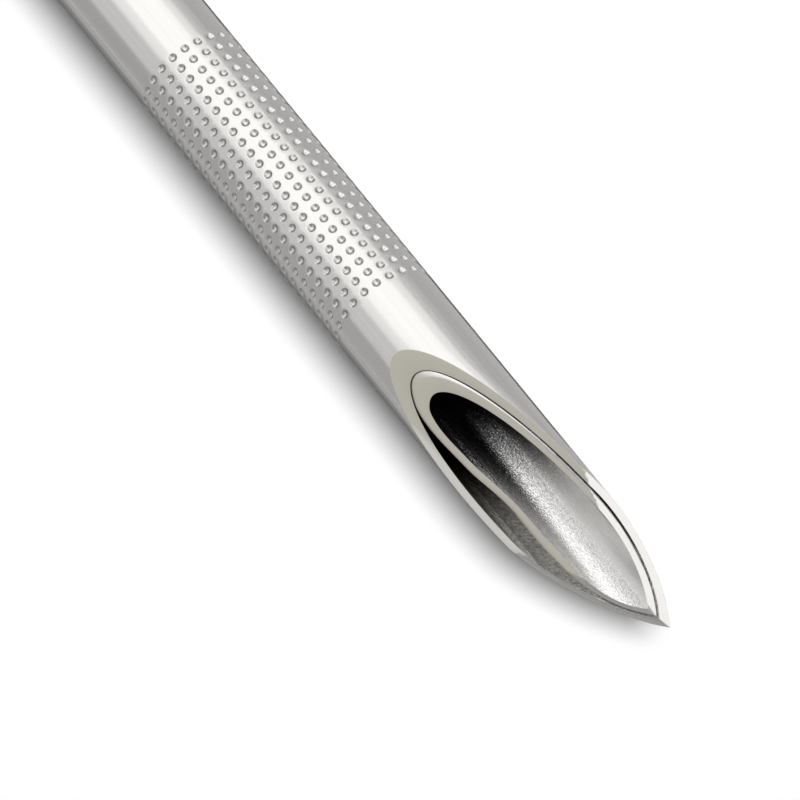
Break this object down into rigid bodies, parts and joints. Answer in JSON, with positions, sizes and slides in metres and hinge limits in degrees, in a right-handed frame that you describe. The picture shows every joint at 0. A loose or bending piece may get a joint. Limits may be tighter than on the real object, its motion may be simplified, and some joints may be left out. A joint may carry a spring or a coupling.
{
  "type": "aspiration needle",
  "caption": "Two-lumen aspiration needle: dimpled steel tube with a D-shaped inner tube, lancet point, two-shell handle, branch with stopcock and cap, tubing nut.",
  "frame": {"origin": "middle of the handle's flat belly, on the joint between the two shells", "axes": "+X along the needle towards its point, +Z the way the bevel faces and away from the flat belly, +Y to the left seen from behind"},
  "size_m": [0.4226, 0.0168, 0.0443],
  "materials": {
    "outer_steel": "polished, ground at the point",
    "inner_steel": "drawn, ground at the point",
    "hub_steel": "turned",
    "seal_silicone": "moulded silicone",
    "soft_grey": "soft moulded elastomer",
    "gauge_white": "moulded",
    "handle_plastic": "fine spark-eroded texture",
    "marker_blue": "moulded",
    "clear_plastic": "clear moulding",
    "cap_plastic": "moulded"
  },
  "bodies": {
    "needle": {"outer_cannula": "outer_steel", "inner_cannula": "inner_steel", "cannula_hub": "hub_steel", "hub_seal": "seal_silicone", "nose_cone": "soft_grey", "gauge_ring": "gauge_white", "handle_shell_left": "handle_plastic", "handle_shell_right": "handle_plastic", "shell_pins": "hub_steel", "grip_inlay_left": "soft_grey", "grip_inlay_right": "soft_grey", "bevel_marker": "marker_blue", "y_manifold": "clear_plastic", "chamber_seal": "seal_silicone", "end_ring": "gauge_white", "tube_collet": "cap_plastic", "stopcock_body": "clear_plastic"},
    "tap": {"stopcock_tap": "marker_blue"},
    "cap": {"port_cap": "cap_plastic"},
    "nut": {"tube_nut": "marker_blue"}
  },
  "joints": [
    {"name": "tap_turn", "type": "hinge", "parent": "needle", "child": "tap", "pos_m": [-0.02702, 0, 0.02905], "axis": [0, 1, 0], "range_deg": [0, 90]},
    {"name": "cap_pull", "type": "slide", "parent": "needle", "child": "cap", "axis": [-0.788, 0, 0.6157], "range_m": [0, 0.012]},
    {"name": "nut_turn", "type": "hinge", "parent": "needle", "child": "nut", "pos_m": [-0.055, 0, 0.0075], "axis": [-1, 0, 0], "range_deg": [0, 360]}
  ]
}
